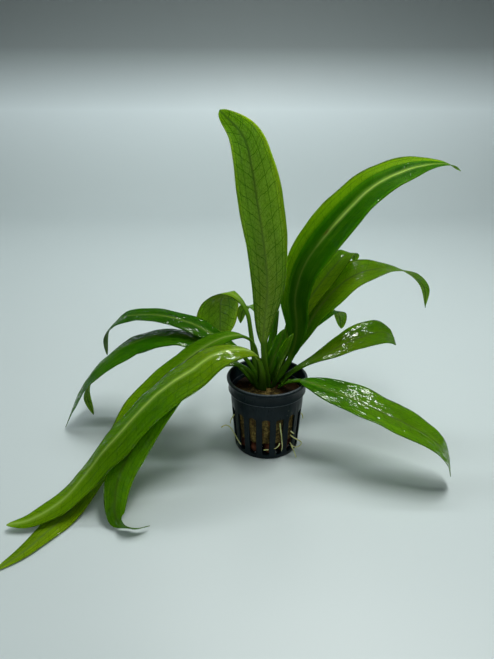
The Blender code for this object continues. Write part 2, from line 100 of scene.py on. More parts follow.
LEAVES = [
    Leaf("leaf_tall", -90, 26, 0.19, 0.58, 0.62, 0.55, 0.3, (0.0, 0.06, 0.22), 0.2, 0.3,
         ((-0.4, -4.2, 42, -5), (-2, -6, 60, 0), (-3, -8, 80, 0), (-1, -9, 108, -10), (-3, -7, 131, -22),
          (-6, -5, 149, -22), (-10, -3, 172, -20), (-14.5, -5, 187, -16), (-25.8, -10, 199, -10))),
    # leaf_right_high's deep tones are a painted shadow of a leaf above it; its lighter margins, painted
    # light, are added further down.
    Leaf("leaf_right_high", 15, 29, 0.1, 0.54, 0.66, 0.6, 0.2, (-0.6, -0.6, -0.4), None, None,
         ((4.4, 0.4, 42, -10), (11, 3, 52, 10), (17, 6, 66, 30), (18, 9, 79, 45), (17, 13, 95, 40),
          (22, 17, 113, 35), (36.2, 22, 132.8, 32), (60.2, 28, 156.8, 26), (83.5, 31, 167.5, 20),
          (103, 32, 170, 10), (113, 33, 166, 0))),
    Leaf("leaf_back_right", 50, 17, 0.16, 0.55, 0.8, 0.65, 0.15, (0.1, 0.55, 0.3), 0.15, None,
         ((2.6, 3.8, 42, 5), (7, 8, 54, 5), (14, 14, 70, 0), (23, 20, 85, 0), (35, 28, 100, 0),
          (47, 36, 112, 0), (52.5, 42, 114.5, 0), (57.5, 47, 111.5, 0), (58.5, 50, 106, 0))),
    Leaf("leaf_right_arch", 28, 22.5, 0.15, 0.47, 0.85, 1.0, 0.15, (-0.1, 0.58, 0.2), 0.15, 0.2,
         ((6.0, 5.0, 42, 12), (14, 8, 54, 10), (22.4, 12.5, 68.5, 10), (32.4, 19, 85, 18),
          (49.4, 27, 100.6, 18), (67, 33, 106, 15), (82, 38, 105, 0), (94, 41, 101, -5),
          (105, 43, 91, -5), (108, 44, 76, 0))),
    Leaf("leaf_back_right_low", 45, 14, 0.25, 0.6, 0.8, 0.6, 0.1, (-0.3, -0.1, 0.2), 0.15, 0.3,
         ((2.4, 7.6, 42, 27), (9, 13, 50, 0), (18, 19, 63, 0), (29, 25, 72, 0), (39, 33, 77, 0),
          (47, 41, 75, 0), (51, 46, 69, 0), (53, 48, 59, 0))),
    Leaf("leaf_right_rest", 22, 25, 0.12, 0.78, 0.46, 0.2, 0.08, (0.1, 0.50, 0.35), 0.15, 0.75,
         ((7.8, 1.1, 42, -14), (14, 5.5, 46.2, 0), (23.5, 9.8, 50.6, 0), (38, 17, 54.4, 10),
          (54, 24, 59.5, 12), (67.5, 29, 62.6, 14), (78, 32.5, 62.8, 22), (86.5, 34.5, 58, 24))),
    Leaf("leaf_right_front", -22, 26, 0.14, 0.5, 0.48, 0.5, 0.08, (-0.05, 0.32, 0.36), 0.15, 1.0,
         ((7.2, -3.2, 42, -2), (13, -6, 47, 0), (22, -11, 49.8, 0), (39, -18, 46.5, 13), (54, -24, 43, 13),
          (68, -31, 39, 8), (82, -37, 34, 3), (94, -42, 27, 0), (100, -44, 19, 0), (103, -46, 8, 0))),
    Leaf("leaf_left_top", 161, 19, 0.14, 0.5, 0.6, 0.6, 0.0, (-0.15, -0.65, -0.6), 0.2, 0.3,
         ((-4.2, 1.7, 42, -6), (-14, 7, 57, 0), (-29, 14.5, 65, -6), (-46, 18.5, 74.3, -8), (-69, 25, 78, -6),
          (-90, 31, 75, -8), (-100, 33, 69, -12), (-107, 34, 60, -15), (-108, 35, 45, -15))),
    Leaf("leaf_left_long", 174, 25.5, 0.14, 0.46, 0.65, 1.0, -0.2, (-0.2, -0.4, -0.15), 0.1, 0.6,
         ((-7.8, -0.6, 42, 10), (-20, 2, 56.5, 0), (-35, 9, 63.3, -5), (-54, 15.5, 68.3, -6),
          (-73, 17, 66.5, -8), (-90, 17, 60, -10), (-106, 16, 48.5, -14), (-118, 15, 35, -16),
          (-127, 13.5, 19, -18), (-135, 12, 2, -18))),
    Leaf("leaf_left_hidden", 168, 14, 0.25, 0.6, 0.8, 0.6, -0.1, (-0.3, 0.0, 0.05), 0.15, 0.3,
         ((-7.2, 3.2, 42, -12), (-15, 8, 49, 0), (-29, 17, 55, 0), (-48, 25, 58, 0), (-69, 31, 55, 0),
          (-90, 34, 48, 0), (-107, 34, 38, 0), (-119, 32, 28, 0), (-124, 29, 17, 0), (-119.5, 25, 3.5, 0))),
    Leaf("leaf_front_left", 206, 26, 0.12, 0.42, 0.7, 0.58, -0.28, (0.8, 0.22, 0.5), 1.0, None,
         ((-3.2, -7.2, 42, 40), (-3.5, -10.5, 57, 20), (-8, -12, 68.5, 0), (-19, -16, 73, -10),
          (-32, -22, 72, -12), (-43, -29, 67, -10), (-54, -35, 62, -8), (-66, -42, 54, -6),
          (-79.5, -50, 41, -5), (-90, -55, 30.5, -4), (-100.5, -60, 18, -4), (-110.5, -67, 9, -6),
          (-124, -75.5, 4.5, -4), (-135.5, -79, 4, 0))),
    Leaf("leaf_front_left_under", 203, 23.5, 0.16, 0.42, 0.66, 0.68, 0.05, (0.1, 0.50, 0.55), 0.3, 0.3,
         ((-4.0, -2.0, 42, 2), (-6, 1, 61, 0), (-10, 4, 70, 0), (-19.5, 3, 73.5, -5), (-33, 1, 70, -8),
          (-50, -6, 60.5, -10), (-68.5, -16, 44.5, -15), (-79.5, -26, 33, -15), (-88.5, -36, 21, -12),
          (-96, -46, 11, -6), (-103, -56, 4, 0), (-109, -69, 1.2, 0), (-115, -81, 0.8, 0),
          (-122, -94, 0.8, 0), (-131, -105, 0.8, 0))),
    Leaf("leaf_front_drooping", 228, 18, 0.22, 0.5, 0.5, 0.78, -0.1, (-0.1, 0.24, 0.26), 0.1, 0.6,
         ((-6.5, -4.6, 42, -14), (-10.5, -7, 54, 0), (-18, -8.5, 60, -10), (-34, -14, 60, -15),
          (-52.5, -28, 54.5, -20), (-65.5, -43, 43, -20), (-75, -56, 31, -20), (-80, -65.5, 21, -20),
          (-80.5, -73, 13, -20), (-79.5, -77.5, 7.5, -24), (-75.5, -80.3, 5, -34), (-69, -81.3, 3.8, -43),
          (-62.2, -78.6, 3.2, -45))),
    Leaf("leaf_back_left", 125, 35, 0.36, 0.7, 1.4, 0.5, 0.15, (0.15, 0.52, 0.45), 0.4, 0.3,
         ((-4.8, 6.1, 42, 3), (-8, 12, 56, 0), (-10, 15, 70, 0), (-12, 19, 81, 0), (-17, 26, 88, 0),
          (-25, 34, 90, 0), (-30, 42, 82.5, 0), (-31, 47, 70, 0), (-31.5, 50, 50, 0))),
    Leaf("leaf_back_small", 105, 9, 0.35, 0.6, 0.8, 0.7, 0.1, (0.2, 0.3, 0.3), 0.15, 0.3,
         ((-1.4, 7.8, 42, -5), (-1, 15, 58, 0), (-1, 24, 69, 0), (-3, 34, 75, 0), (-8, 43, 77, 0),
          (-13, 49, 75, 0), (-16, 52, 69, 0), (-17, 53, 61, 0))),
    Leaf("leaf_back_young", 80, 9, 0.2, 0.55, 0.7, 0.7, 0.2, (-0.4, -0.3, -0.2), 0.15, 0.3,
         ((-1.2, 4.4, 42, 25), (1, 7, 55, -10), (4, 10, 68, -60), (7, 13, 86, -60))),
    Leaf("leaf_young_left", 30, 8, 0.2, 0.55, 0.7, 0.7, 0.3, (-0.3, -0.1, 0.1), 0.15, 0.3,
         ((0.2, 0.0, 42, 0), (1.5, 0, 50, 0), (3.5, 1.5, 58, 20), (7, 3, 67, 30), (10, 5, 77, 30))),
    Leaf("leaf_young_right", -10, 9, 0.2, 0.55, 0.7, 0.7, 0.5, (-0.2, 0.1, 0.30), 0.15, 0.3,
         ((3.4, -3.7, 42, -35), (5.2, -5.7, 52, 0), (8, -6.8, 61, 20), (11.5, -6.5, 69, 30),
          (14.5, -6.5, 79, 30))),
]

# Roots that have grown out of the slots: points in millimetres.
ROOTS = {
    "root_front": ((7.2, -20.9, 27), (7.6, -21.4, 23), (8.2, -21.4, 19), (8.5, -21.3, 15.5),
                   (9.0, -20.8, 10.5), (8.6, -20.6, 6.5)),
    "root_front_fork": ((7.3, -21.6, 13.2), (6.6, -21.8, 11.2), (5.0, -21.9, 9.6), (3.9, -21.8, 9.3)),
    "root_loop": ((13.9, -16.6, 15.8), (14.8, -18.6, 16.0), (16.5, -20.0, 15.6), (19.0, -20.2, 14.2),
                  (20.6, -19.6, 12.2), (20.2, -19.2, 10.0), (18.2, -19.0, 8.5), (16.0, -18.5, 8.5),
                  (14.6, -17.4, 9.4), (13.9, -16.5, 10.4)),
    "root_tail": ((14.6, -15.5, 7.8), (15.6, -17.2, 6.6), (16.6, -18.2, 4.6), (17.4, -18.8, 2.4),
                  (18.0, -19.4, 0.7)),
    "root_stub": ((14.0, -16.6, 18.6), (15.1, -17.9, 18.2), (16.3, -18.6, 17.8)),
    "root_left": ((-20.4, -7.3, 24.6), (-21.7, -7.8, 22.3), (-22.9, -8.0, 19.9), (-22.7, -8.4, 18.2)),
    "root_left_long": ((-29.0, -7.5, 14.9), (-26.0, -7.5, 16.6), (-23.2, -8.4, 15.9), (-20.8, -11.0, 13.6),
                       (-18.4, -14.2, 10.8), (-16.1, -16.7, 8.3)),
    "root_right": ((21.5, -1.2, 22), (22.8, -1.6, 20.2), (23.1, -2.4, 18.0)),
    "root_foot": ((-2.6, -21.6, 8.1), (-1.0, -21.8, 8.3), (0.8, -21.6, 8.2)),
}


# Camera, light and floor

def make_camera():
    """The camera that stood a little above the plant and looked down at it."""
    data = bpy.data.cameras.new("camera")
    data.lens = 28
    data.sensor_width = 36
    data.clip_start = 0.01
    camera = bpy.data.objects.new("camera", data)
    camera.location = (-0.0125, -0.2803, 0.199)
    camera.rotation_euler = (math.radians(66.8), 0, 0)
    bpy.context.scene.collection.objects.link(camera)
    bpy.context.scene.camera = camera


def area_light(name, place, target, size, power, colour, lights=True, gloss=True):
    """A soft rectangular light that faces a point: it can light surfaces, show as gloss in them, or both."""
    data = bpy.data.lights.new(name, "AREA")
    data.shape = "RECTANGLE"
    data.size, data.size_y = size
    data.energy = power
    data.color = colour
    lamp = bpy.data.objects.new(name, data)
    lamp.location = place
    lamp.rotation_euler = (Vector(target) - Vector(place)).to_track_quat("-Z", "Y").to_euler()
    lamp.visible_diffuse = lights
    lamp.visible_glossy = gloss
    bpy.context.scene.collection.objects.link(lamp)


def make_lights():
    """A lamp overhead, a thin tube behind it that shines in the wet leaves, and soft panels around."""
    plant = (0.02, 0, 0.04)
    warm = (1.0, 1.0, 0.97)
    cool = (0.95, 1.0, 1.0)
    area_light("overhead_lamp", (0.15, 0.0, 0.70), plant, (0.34, 0.12), 2.75, warm, gloss=False)
    area_light("rear_tube", (0.18, 0.27, 0.80), plant, (0.75, 0.05), 5.5, warm, lights=False)
    area_light("front_panel", (0.0, -1.0, 0.75), plant, (1.3, 0.5), 2.6, cool, gloss=False)
    area_light("left_panel", (-1.1, 0.45, 0.75), plant, (0.5, 0.5), 0.9, cool, gloss=False)
    area_light("backdrop_light", (0, 0.35, 0.85), (0, 0.95, 0.12), (1.2, 0.15), 5.2, cool, gloss=False)
    world = bpy.data.worlds.new("pale_room")
    bpy.context.scene.world = world
    world.use_nodes = True
    background = world.node_tree.nodes["Background"]
    background.inputs["Color"].default_value = (0.82, 0.90, 0.90, 1)
    background.inputs["Strength"].default_value = 0.10
    bpy.context.scene.view_settings.view_transform = "Standard"


def finished_mesh(bm, name):
    """A smoothly shaded mesh from the faces built so far."""
    mesh = bpy.data.meshes.new(name)
    bm.to_mesh(mesh)
    bm.free()
    mesh.shade_smooth()
    return mesh


def make_floor():
    """A plain pale floor that turns up into a backdrop in a soft bend, the backdrop's upper part darkened by
    painted shade.
    """
    half_span = 2.2
    front, back, top = -1.6, 0.75, 2.2
    bend_radius = 0.35
    bend_steps = 16
    profile = [(front, 0), (back, 0)]
    for k in range(1, bend_steps + 1):
        angle = math.pi / 2 * k / bend_steps
        profile.append((back + bend_radius * math.sin(angle), bend_radius * (1 - math.cos(angle))))
    profile.append((back + bend_radius, top))
    bm = bmesh.new()
    rows = [[bm.verts.new((x, y, z)) for y, z in profile] for x in (-half_span, half_span)]
    for k in range(len(profile) - 1):
        bm.faces.new((rows[0][k], rows[1][k], rows[1][k + 1], rows[0][k + 1]))
    mesh = finished_mesh(bm, "floor")
    floor = bpy.data.objects.new("floor", mesh)
    bpy.context.scene.collection.objects.link(floor)
    finish = Finish("pale_floor_painted_shade")
    height = finish.node("ShaderNodeSeparateXYZ", {"Vector": finish.place()}).outputs["Z"]
    rise = finish.level(height, 0.0, 0.5)
    # The floor is pale and the wall above it paler; higher up, the backdrop turns dark grey: painted shade.
    colour = finish.ramp(rise, ((0.0, (0.64, 0.73, 0.735)), (0.35, (0.80, 0.89, 0.91)),
                                (0.75, (0.24, 0.27, 0.27)), (1.0, (0.15, 0.17, 0.17))))
    mesh.materials.append(finish.surface(Base_Color=colour, Roughness=0.42))


# Materials

class Finish:
    """A Principled material, and short ways to add nodes to it."""

    def __init__(self, name):
        self.material = bpy.data.materials.new(name)
        self.material.use_nodes = True
        self.tree = self.material.node_tree
        self.shader = self.tree.nodes["Principled BSDF"]

    def node(self, kind, inputs=None, **settings):
        """A node with its settings, and its inputs set to values or linked from other sockets."""
        made = self.tree.nodes.new(kind)
        for name, value in settings.items():
            setattr(made, name, value)
        for name, value in (inputs or {}).items():
            self.plug(value, made.inputs[name])
        return made

    def plug(self, value, socket):
        """An input linked from a socket or set to a value."""
        if isinstance(value, bpy.types.NodeSocket):
            self.tree.links.new(value, socket)
        else:
            socket.default_value = value

    def surface(self, **inputs):
        """The material, once its shader's inputs are set to values or linked from sockets."""
        for name, value in inputs.items():
            self.plug(value, self.shader.inputs[name.replace("_", " ")])
        return self.material

    def math(self, operation, first, second=0.0, clamp=False):
        """One step of arithmetic with values or sockets."""
        made = self.node("ShaderNodeMath", {0: first, 1: second}, operation=operation, use_clamp=clamp)
        return made.outputs[0]

    def times(self, first, second):
        return self.math("MULTIPLY", first, second)

    def plus(self, first, second):
        return self.math("ADD", first, second)

    def paint(self, colour, mask, amount, over):
        """A colour with another one laid over it as far as a mask, from 0 to 1, and an amount allow."""
        factor = mask if amount == 1 else self.times(mask, amount)
        made = self.node("ShaderNodeMix", {0: factor, 6: colour, 7: over}, data_type="RGBA")
        return made.outputs[2]

    def ramp(self, factor, stops):
        """A colour ramp: each stop is its place and its colour."""
        made = self.node("ShaderNodeValToRGB", {"Fac": factor})
        ramp = made.color_ramp
        while len(ramp.elements) < len(stops):
            ramp.elements.new(0.5)
        for element, (place, colour) in zip(ramp.elements, stops):
            element.position = place
            element.color = (*colour, 1)
        return made.outputs["Color"]

    def level(self, value, low, high, to_low=0.0, to_high=1.0):
        """A value moved from one range to another, held at the ends."""
        made = self.node("ShaderNodeMapRange", {"Value": value, "From Min": low, "From Max": high,
                                                "To Min": to_low, "To Max": to_high},
                         interpolation_type="SMOOTHSTEP")
        return made.outputs["Result"]

    def noise(self, vector, scale, detail=3.0, roughness=0.55, distortion=0.0):
        """Soft noise, from 0 to 1."""
        made = self.node("ShaderNodeTexNoise", {"Vector": vector, "Scale": scale, "Detail": detail,
                                                "Roughness": roughness, "Distortion": distortion})
        return made.outputs["Fac"]

    def stretch(self, vector, scale, turn=(0, 0, 0)):
        """A vector scaled and turned."""
        made = self.node("ShaderNodeMapping", {"Vector": vector, "Scale": scale, "Rotation": turn})
        return made.outputs["Vector"]

    def bump(self, height, strength, distance):
        """A surface direction that leans as a height says."""
        inputs = {"Height": height, "Strength": strength, "Distance": distance}
        return self.node("ShaderNodeBump", inputs).outputs["Normal"]

    def attribute(self, name):
        """A measure that the mesh carries."""
        return self.node("ShaderNodeAttribute", attribute_name=name).outputs["Fac"]

    def place(self):
        """The place on the object, in metres."""
        return self.node("ShaderNodeTexCoord").outputs["Object"]


def vein(finish, distance, thickness):
    """A soft line, from 1 on the vein to 0 off it, from the distance to its middle."""
    return finish.level(distance, thickness * 0.4, thickness * 1.8, 1, 0)


def vein_lines(finish, outward, half_width):
    """The two fine lengthwise veins on each side of the midrib: outward is 0 there and 1 at the edge."""
    lines = []
    for share, thickness in ((0.48, 0.15), (0.78, 0.16)):
        off = finish.math("ABSOLUTE", finish.math("SUBTRACT", outward, share))
        lines.append(vein(finish, finish.times(off, half_width), thickness))
    return finish.math("MAXIMUM", *lines)


def rung_lines(finish, sideways, along, wobble, spacing, thickness):
    """Slanted cross veins, out of step on the two sides: they run outward and toward the tip."""
    slanted = finish.plus(along, finish.times(finish.math("ABSOLUTE", sideways), -RUNG_SLANT))
    shifted = finish.plus(slanted, finish.times(finish.math("SIGN", sideways), spacing * 0.27))
    bent = finish.plus(shifted, finish.times(wobble, spacing * 0.7))
    phase = finish.math("PINGPONG", bent, spacing / 2)
    return vein(finish, phase, thickness)


def leaf_finish(name, under):
    """The leaf's skin, wet and green above, paler and netted with veins below.

    The mesh carries its measures: across runs from -1 to 1 from edge to edge, half_width is in
    millimetres, along is in millimetres from the leaf's foot, and share runs from 0 to 1. Tone, rib
    and wet are as in a Leaf, Tone also holding painted light and shade on three leaves, and scar is
    high where the leaf is bruised brown.
    """
    finish = Finish(name)
    level, times, plus, paint = finish.level, finish.times, finish.plus, finish.paint
    along = finish.attribute("along")
    half_width = finish.attribute("half_width")
    tone = finish.attribute("tone")
    rib_pale = finish.attribute("rib")
    across = finish.attribute("across")
    outward = finish.math("ABSOLUTE", across)
    sideways = times(across, half_width)
    middle = times(outward, half_width)
    flat = finish.node("ShaderNodeCombineXYZ", {"X": sideways, "Y": along, "Z": finish.attribute("seed")})
    flat = flat.outputs["Vector"]

    def blotches(scale_across, scale_along, detail=3.0, roughness=0.6, distortion=0.0):
        """Noise on the flattened leaf, with its scales per millimetre."""
        stretched = finish.stretch(flat, (scale_across, scale_along, 1))
        return finish.noise(stretched, 1.0, detail, roughness, distortion)

    # Veins
    blade = level(half_width, 1.7, 3.8)
    wobble = blotches(0.16, 0.10)
    rungs = rung_lines(finish, sideways, along, wobble, RUNG_SPACING, RUNG_THICKNESS)
    small_rungs = rung_lines(finish, sideways, along, wobble, RUNG_SPACING / 2, RUNG_THICKNESS / 2)
    stretched = finish.stretch(flat, (0.95, 0.42, 1))
    cells = finish.node("ShaderNodeTexVoronoi", {"Vector": stretched, "Scale": 1.0, "Randomness": 0.9},
                        feature="DISTANCE_TO_EDGE")
    cell_edges = level(cells.outputs["Distance"], 0.01, 0.11, 1, 0)
    net = times(finish.math("MAXIMUM", times(cell_edges, 0.50), rungs), blade)
    small = times(times(small_rungs, level(wobble, 0.3, 0.55, 0.4, 1)), blade)
    fine = times(vein_lines(finish, outward, half_width), blade)

    # Colour
    young = (0.26, 0.41, 0.005, 1)
    deep = (0.004, 0.034, 0.0002, 1)
    dark_edge = (0.010, 0.036, 0.001, 1)
    pale_rib = (0.42, 0.62, 0.110, 1)
    dark_rib = (0.030, 0.085, 0.002, 1)
    stalk_green = (0.050, 0.150, 0.003, 1)
    foot_green = (0.010, 0.040, 0.001, 1)
    bruise_brown = (0.085, 0.045, 0.010, 1)
    clouds = blotches(0.10, 0.035, 4)
    mottle = blotches(0.5, 0.22, 4, 0.65)
    if under:
        colour = finish.ramp(clouds, ((0.25, (0.125, 0.240, 0.015)), (0.5, (0.180, 0.315, 0.025)),
                                      (0.8, (0.240, 0.385, 0.040))))
        colour = paint(colour, level(mottle, 0.35, 0.75), 0.35, (0.27, 0.40, 0.060, 1))
        vein_colour = (0.038, 0.115, 0.002, 1)
        net_strength, small_strength, fine_strength = 0.92, 0.70, 0.78
    else:
        colour = finish.ramp(clouds, ((0.25, (0.012, 0.082, 0.0003)), (0.5, (0.028, 0.135, 0.0006)),
                                      (0.8, (0.062, 0.205, 0.001))))
        colour = paint(colour, level(mottle, 0.4, 0.8), 0.30, (0.085, 0.245, 0.002, 1))
        streaks = blotches(0.75, 0.035)
        colour = paint(colour, level(streaks, 0.46, 0.72), 0.40, (0.110, 0.250, 0.012, 1))
        vein_colour = (0.014, 0.075, 0.0005, 1)
        net_strength, small_strength, fine_strength = 0.42, 0.25, 0.45
    # Young yellow-green and deep green also serve as painted light and shade: the deep middle of
    # leaf_right_high is a painted shadow, and its margins, the tall leaf's tip and the far edge of
    # leaf_front_left_under are painted light.
    colour = paint(colour, level(tone, 0, 1), 0.8, young)
    colour = paint(colour, level(tone, -1, 0, 1, 0), 0.9, deep)
    colour = paint(colour, level(outward, 0.84, 0.98), 0.85, dark_edge)
    colour = paint(colour, net, net_strength, vein_colour)
    colour = paint(colour, small, small_strength, vein_colour)
    colour = paint(colour, fine, fine_strength, vein_colour)
    rib_colour = paint(dark_rib, rib_pale, 1, pale_rib)
    colour = paint(colour, level(middle, 0.25, 0.95, 1, 0), 0.75, rib_colour)
    wide_rib = times(level(middle, 0.6, 2.6, 1, 0), rib_pale)
    colour = paint(colour, wide_rib, 0.35, pale_rib)
    stalk = times(level(half_width, 1.6, 3.2, 1, 0), level(finish.attribute("share"), 0.5, 0.6, 1, 0))
    colour = paint(colour, stalk, 0.8, stalk_green)
    colour = paint(colour, level(along, 0.0, 24.0, 1, 0), 0.85, foot_green)
    colour = paint(colour, finish.attribute("scar"), 1, bruise_brown)

    # Relief of the skin, and the ripples of the water on it
    relief = times(net, 0.45 if under else -0.35)
    relief = plus(relief, times(small, 0.15 if under else -0.15))
    relief = plus(relief, times(fine, 0.7 if under else -0.5))
    relief = plus(relief, times(mottle, 0.9))
    ripples = blotches(0.55, 0.26, 1.5, 0.5)
    film = plus(times(relief, 0.08), times(ripples, 2.2))

    # Gloss, and where the water stands
    smoothest, roughest = (0.50, 0.65) if under else (0.34, 0.52)
    roughness = level(blotches(0.25, 0.12), 0.3, 0.7, smoothest, roughest)
    drops = blotches(0.60, 0.28, 2, 0.5, 0.5)
    wet = plus(drops, times(finish.attribute("wet"), 0.14))
    water = level(wet, 0.56, 0.66, 0, 0.25) if under else level(wet, 0.59, 0.68)
    return finish.surface(
        Base_Color=colour, Roughness=roughness, Specular_IOR_Level=0.012,
        Normal=finish.bump(relief, 0.6, 0.00035), Coat_Normal=finish.bump(film, 0.6, 0.00035),
        Coat_Weight=water, Coat_Roughness=0.07,
        Subsurface_Weight=0.6, Subsurface_Radius=(0.7, 1.0, 0.15), Subsurface_Scale=0.0018)


def pot_finish():
    """Moulded black plastic, slightly blue-green, with fine scuffs, a few pale lime specks, and pale lines of
    wear along the step and the rim's lip that are also painted highlights.
    """
    finish = Finish("pot_plastic_detail")
    place = finish.place()
    scuff = finish.noise(finish.stretch(place, (900, 900, 160)), 1.0, 4, 0.65)
    clouds = finish.noise(place, 120, 3)
    colour = finish.ramp(clouds, ((0.3, (0.003, 0.008, 0.010)), (0.7, (0.006, 0.014, 0.018))))
    specks = finish.node("ShaderNodeTexVoronoi", {"Vector": place, "Scale": 190.0}).outputs["Distance"]
    speck = finish.times(finish.level(specks, 0.05, 0.14, 1, 0), finish.level(clouds, 0.52, 0.60))
    colour = finish.paint(colour, speck, 0.55, (0.16, 0.17, 0.14, 1))
    height = finish.node("ShaderNodeSeparateXYZ", {"Vector": place}).outputs["Z"]
    # Pale lines along the collar's step and the rim's lip: partly wear on these moulded edges, partly painted
    # highlights where they catch the lamp.
    scuff_and_highlight_patches = finish.level(scuff, 0.3, 0.6, 0.4, 0.85)
    for edge_height, reach in ((POT_HEIGHT - COLLAR_HEIGHT + 0.35 * MM, 0.45 * MM), (POT_HEIGHT, 0.5 * MM)):
        off = finish.math("ABSOLUTE", finish.math("SUBTRACT", height, edge_height))
        wear_and_painted_highlight = finish.times(finish.level(off, 0, reach, 1, 0), scuff_and_highlight_patches)
        colour = finish.paint(colour, wear_and_painted_highlight, 1, (0.085, 0.105, 0.115, 1))
    grain = finish.plus(finish.times(scuff, 0.35), clouds)
    return finish.surface(Base_Color=colour, Roughness=finish.level(scuff, 0.3, 0.75, 0.26, 0.46),
                          Specular_IOR_Level=0.14, Normal=finish.bump(grain, 0.18, 0.0003))


def medium_finish():
    """Damp matted mineral wool: tan and olive fibres, dark brown dips painted as shade, dark staining that
    doubles as painted shade, and painted shade at the back and right of its top.
    """
    finish = Finish("growing_medium_detail")
    place = finish.place()
    swirl = finish.node("ShaderNodeTexNoise", {"Vector": place, "Scale": 220.0, "Detail": 2.0})
    shift = finish.node("ShaderNodeVectorMath", {0: swirl.outputs["Color"], 1: (0.004, 0.004, 0.004)},
                        operation="MULTIPLY")
    bent = finish.node("ShaderNodeVectorMath", {0: place, 1: shift.outputs["Vector"]}, operation="ADD")
    bent = bent.outputs["Vector"]
    strands = finish.noise(finish.stretch(bent, (520, 520, 1900), (0.5, 0.2, 0.3)), 1.0, 5, 0.7)
    crossing = finish.noise(finish.stretch(bent, (1700, 600, 480), (0.2, 0.7, 0.9)), 1.0, 4, 0.7)
    fibre = finish.math("MAXIMUM", strands, crossing)
    colour = finish.ramp(fibre, ((0.40, (0.034, 0.023, 0.005)), (0.53, (0.175, 0.125, 0.034)),
                                 (0.70, (0.480, 0.360, 0.120))))
    # Dark brown patches: painted shade in the dips between tufts of wool.
    painted_shade_dips = finish.level(finish.noise(place, 160, 4, 0.7), 0.40, 0.58, 1, 0)
    colour = finish.paint(colour, painted_shade_dips, 0.75, (0.028, 0.018, 0.008, 1))

    # The back and the right of the top are darker: painted shade, as under the leaves
    sides = finish.node("ShaderNodeSeparateXYZ", {"Vector": place})
    top = finish.level(sides.outputs["Z"], MEDIUM_TOP - 3 * MM, MEDIUM_TOP - 1 * MM)
    painted_shade_side = finish.math("ADD", finish.level(sides.outputs["X"], 1 * MM, 10 * MM),
                            finish.level(sides.outputs["Y"], -10 * MM, 0), clamp=True)
    colour = finish.paint(colour, finish.times(top, painted_shade_side), 0.97, (0.016, 0.007, 0.003, 1))
    # Dark marks: partly staining of the damp wool, partly painted shade.
    stains_and_painted_shade = finish.level(finish.noise(place, 170, 3, 0.6), 0.5, 0.66)
    colour = finish.paint(colour, stains_and_painted_shade, 0.75, (0.014, 0.010, 0.004, 1))
    red_specks = finish.level(finish.noise(place, 420, 3, 0.6), 0.60, 0.70)
    colour = finish.paint(colour, red_specks, 0.6, (0.17, 0.055, 0.022, 1))
    return finish.surface(Base_Color=colour, Roughness=0.85, Specular_IOR_Level=0.12,
                          Normal=finish.bump(fibre, 0.9, 0.0008))


def pellet_finish():
    """Damp baked clay, red-brown with darker and paler patches and small pits."""
    finish = Finish("clay_pellet_detail")
    place = finish.place()
    patches = finish.noise(place, 330, 4, 0.6)
    colour = finish.ramp(patches, ((0.3, (0.035, 0.009, 0.004)), (0.55, (0.11, 0.028, 0.010)),
                                   (0.78, (0.22, 0.075, 0.030))))
    pits = finish.noise(place, 1500, 4, 0.7)
    return finish.surface(Base_Color=colour, Roughness=finish.level(patches, 0.3, 0.7, 0.5, 0.9),
                          Normal=finish.bump(pits, 0.7, 0.0004))


def root_finish():
    """Pale yellow-green living root, slightly see-through."""
    finish = Finish("root_detail")
    place = finish.place()
    patches = finish.noise(place, 260, 4, 0.6)
    colour = finish.ramp(patches, ((0.3, (0.40, 0.45, 0.14)), (0.55, (0.66, 0.68, 0.32)),
                                   (0.8, (0.85, 0.83, 0.52))))
    return finish.surface(Base_Color=colour, Roughness=0.45, Normal=finish.bump(patches, 0.4, 0.0002),
                          Subsurface_Weight=0.3, Subsurface_Radius=(1.0, 0.9, 0.4), Subsurface_Scale=0.0006)


def crown_finish():
    """The stem's short thick base: dark green and fibrous."""
    finish = Finish("crown_detail")
    place = finish.place()
    strands = finish.noise(finish.stretch(place, (900, 900, 160)), 1.0, 4, 0.6)
    colour = finish.ramp(strands, ((0.3, (0.008, 0.020, 0.003)), (0.55, (0.020, 0.050, 0.006)),
                                   (0.8, (0.050, 0.085, 0.015))))
    return finish.surface(Base_Color=colour, Roughness=0.55, Normal=finish.bump(strands, 0.7, 0.0004))


# Pieces

def add_piece(name, mesh, finishes, node):
    """A piece in the scene that stands for a CAD node and moves with it."""
    piece = bpy.data.objects.new(name, mesh)
    bpy.context.scene.collection.objects.link(piece)
    for finish in finishes:
        mesh.materials.append(finish)
    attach(piece, "root")
    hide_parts(node)


def smooth_points(path, spacing):
    """Points at equal steps along a smooth curve through the path, and how far along each is."""
    knots = np.array(path, float)
    knots = np.vstack([2 * knots[0] - knots[1], knots, 2 * knots[-1] - knots[-2]])
    fine = []
    for before, start, end, after in zip(knots[:-3], knots[1:-2], knots[2:-1], knots[3:]):
        t = np.linspace(0, 1, 40, endpoint=False)[:, None]
        fine.append(0.5 * (2 * start + (end - before) * t + (2 * before - 5 * start + 4 * end - after) * t**2
                           + (3 * start - before - 3 * end + after) * t**3))
    fine = np.vstack([*fine, knots[-2][None]])
    steps = np.linalg.norm(np.diff(fine[:, :3], axis=0), axis=1)
    run = np.concatenate([[0], np.cumsum(steps)])
    at = np.linspace(0, run[-1], max(8, round(run[-1] / spacing) + 1))
    return np.stack([np.interp(at, run, column) for column in fine.T], -1), at


def half_width(leaf, share):
    """Half the leaf's width at a share of its length, and how far the blade has opened there."""
    t = np.clip((share - leaf.stalk_share) / (1 - leaf.stalk_share), 0, 1)
    power = math.log(0.5) / math.log(leaf.widest)
    fullness = np.where(t < leaf.widest, leaf.taper, leaf.bluntness)
    blade = np.abs(np.sin(math.pi * t**power)) ** fullness
    stalk = STALK_HALF_WIDTH * np.clip((1 - t) * 4, 0, 1)
    return np.maximum(stalk * (1 - blade) + leaf.width * MM / 2 * blade, TIP_HALF_WIDTH), blade


